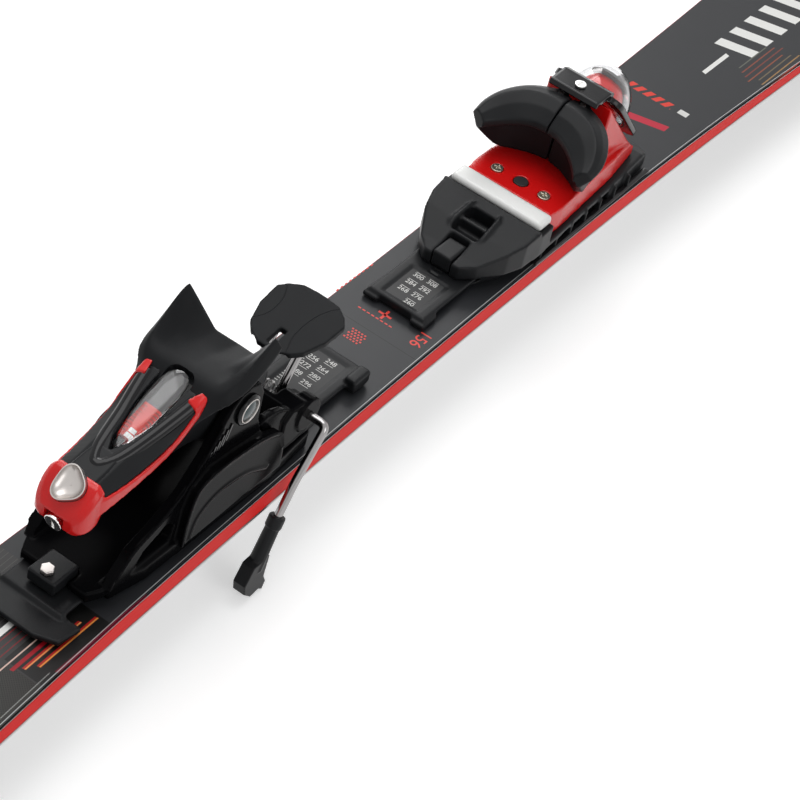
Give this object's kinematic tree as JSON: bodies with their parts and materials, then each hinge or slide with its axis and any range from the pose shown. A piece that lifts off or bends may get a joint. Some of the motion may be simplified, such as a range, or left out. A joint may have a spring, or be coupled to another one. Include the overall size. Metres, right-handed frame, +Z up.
{
  "type": "carving ski",
  "caption": "Carving ski with sidecut, camber and raised tip, carrying an alpine toe binding, a step-in heel binding and a sprung ski brake on sliding rails.",
  "frame": {"origin": "on the running base under the boot-centre mark, midway between the ski's edges", "axes": "+X along the ski towards the tip, +Y to the skier's left, +Z up from base to deck"},
  "size_m": [1.548, 0.1224, 0.183],
  "materials": {
    "deck_lacquer": "satin dark grey printed top sheet",
    "red_plastic": "glossy red moulding",
    "sidewall_red": "bright red sidewall",
    "edge_steel": "ground steel",
    "metal_sheet": "plain aluminium sheet",
    "core_wood": "laminated wood core",
    "base_plastic": "sintered black base",
    "satin_black": "satin black moulding",
    "gloss_black": "glossy black moulding",
    "matte_dark": "matte dark grey moulding",
    "white_plastic": "white low-friction plastic",
    "chrome": "bright chromed steel",
    "zinc_screw": "zinc plated steel",
    "clear_plastic": "clear plastic window"
  },
  "bodies": {
    "ski": {"wood_core": "core_wood", "metal_sheet": "metal_sheet", "top_sheet_rear": "deck_lacquer", "top_sheet_middle": "deck_lacquer", "top_sheet_front": "deck_lacquer", "base_sheet_rear": "base_plastic", "base_sheet_middle": "base_plastic", "base_sheet_front": "base_plastic", "sidewall_left_rear": "sidewall_red", "sidewall_left_middle": "sidewall_red", "sidewall_left_front": "sidewall_red", "sidewall_right_rear": "sidewall_red", "sidewall_right_middle": "sidewall_red", "sidewall_right_front": "sidewall_red", "edge_left": "edge_steel", "edge_right": "edge_steel", "tip_spacer": "base_plastic", "tail_guard": "base_plastic", "front_rail": "satin_black", "rear_rail": "satin_black"},
    "toe_unit": {"toe_plate": "satin_black", "afd_bar": "white_plastic", "toe_body": "red_plastic", "toe_screw_left": "zinc_screw", "toe_screw_right": "zinc_screw", "toe_plug": "satin_black", "toe_bezel": "gloss_black", "bezel_screw": "chrome", "toe_window": "clear_plastic", "toe_spring": "edge_steel", "toe_piston": "edge_steel", "wing_pin_left": "edge_steel", "wing_pin_right": "edge_steel"},
    "wing_left": {"toe_wing_left": "satin_black"},
    "wing_right": {"toe_wing_right": "satin_black"},
    "toe_latch": {"toe_latch": "satin_black"},
    "toe_screw": {"toe_setting_screw": "zinc_screw"},
    "toe_indicator": {"toe_indicator": "red_plastic"},
    "heel_unit": {"heel_carriage": "gloss_black", "brake_housing": "gloss_black", "heel_pivot_pin": "edge_steel", "pivot_cap_left": "chrome", "pivot_cap_right": "chrome", "brake_spring": "edge_steel"},
    "heel_jaw": {"heel_jaw": "matte_dark", "heel_lever": "gloss_black", "lever_trim": "red_plastic", "pole_dimple": "chrome", "heel_window": "clear_plastic", "heel_spring": "edge_steel", "heel_piston": "edge_steel"},
    "heel_screw": {"heel_setting_screw": "chrome"},
    "heel_indicator": {"heel_indicator": "red_plastic"},
    "heel_latch": {"heel_latch": "satin_black", "latch_bolt": "chrome"},
    "brake_arms": {"brake_wire": "chrome", "brake_foot_left": "satin_black", "brake_foot_right": "satin_black"},
    "brake_pedal": {"brake_pedal": "matte_dark"}
  },
  "joints": [
    {"name": "toe_slide", "type": "slide", "parent": "ski", "child": "toe_unit", "axis": [1, 0, 0], "range_m": [-0.024, 0.016]},
    {"name": "heel_slide", "type": "slide", "parent": "ski", "child": "heel_unit", "axis": [1, 0, 0], "range_m": [-0.024, 0.03]},
    {"name": "wing_left_release", "type": "hinge", "parent": "toe_unit", "child": "wing_left", "pos_m": [0.1785, 0.008, 0.065], "axis": [0, 0, -1], "range_deg": [0, 28], "stiffness_Nm_per_rad": 4, "springref_deg": -17.19},
    {"name": "wing_right_release", "type": "hinge", "parent": "toe_unit", "child": "wing_right", "pos_m": [0.1785, -0.008, 0.065], "axis": [0, 0, 1], "range_deg": [0, 28], "stiffness_Nm_per_rad": 4, "springref_deg": -17.19},
    {"name": "toe_latch_lift", "type": "hinge", "parent": "toe_unit", "child": "toe_latch", "pos_m": [0.0732, 0, 0.0305], "axis": [0, 1, 0], "range_deg": [0, 20], "stiffness_Nm_per_rad": 0.3, "springref_deg": -17.19},
    {"name": "toe_screw_turn", "type": "hinge", "parent": "toe_unit", "child": "toe_screw", "pos_m": [0.239, 0, 0.0336], "axis": [1, 0, 0], "range_deg": [-720, 720]},
    {"name": "toe_indicator_slide", "type": "slide", "parent": "toe_unit", "child": "toe_indicator", "axis": [0.6639, 0, -0.7478], "range_m": [-0.006, 0.006]},
    {"name": "jaw_close", "type": "hinge", "parent": "heel_unit", "child": "heel_jaw", "pos_m": [-0.184, 0, 0.089], "axis": [0, 1, 0], "range_deg": [0, 50]},
    {"name": "heel_screw_turn", "type": "hinge", "parent": "heel_jaw", "child": "heel_screw", "pos_m": [-0.3, 0, 0.068], "axis": [0.9681, 0, 0.2504], "range_deg": [-360, 1080]},
    {"name": "heel_indicator_slide", "type": "slide", "parent": "heel_jaw", "child": "heel_indicator", "axis": [0.9397, 0, 0.342], "range_m": [-0.003, 0.009]},
    {"name": "heel_latch_lift", "type": "hinge", "parent": "heel_unit", "child": "heel_latch", "pos_m": [-0.2865, 0, 0.028], "axis": [0, 1, 0], "range_deg": [0, 25], "stiffness_Nm_per_rad": 0.3, "springref_deg": -17.19},
    {"name": "brake_swing", "type": "hinge", "parent": "heel_unit", "child": "brake_arms", "pos_m": [-0.12, 0, 0.043], "axis": [0, 1, 0], "range_deg": [0, 62], "stiffness_Nm_per_rad": 2.5, "springref_deg": -51.57},
    {"name": "pedal_fold", "type": "hinge", "parent": "brake_arms", "child": "brake_pedal", "pos_m": [-0.1, 0, 0.074], "axis": [0, 1, 0], "range_deg": [-55, 0]}
  ],
  "couplings": [
    {"joint": "toe_screw_turn", "follows": "toe_indicator_slide", "rad_per_m": 2094.4},
    {"joint": "heel_screw_turn", "follows": "heel_indicator_slide", "rad_per_m": 2094.4},
    {"joint": "pedal_fold", "follows": "brake_swing", "ratio": -0.887}
  ]
}
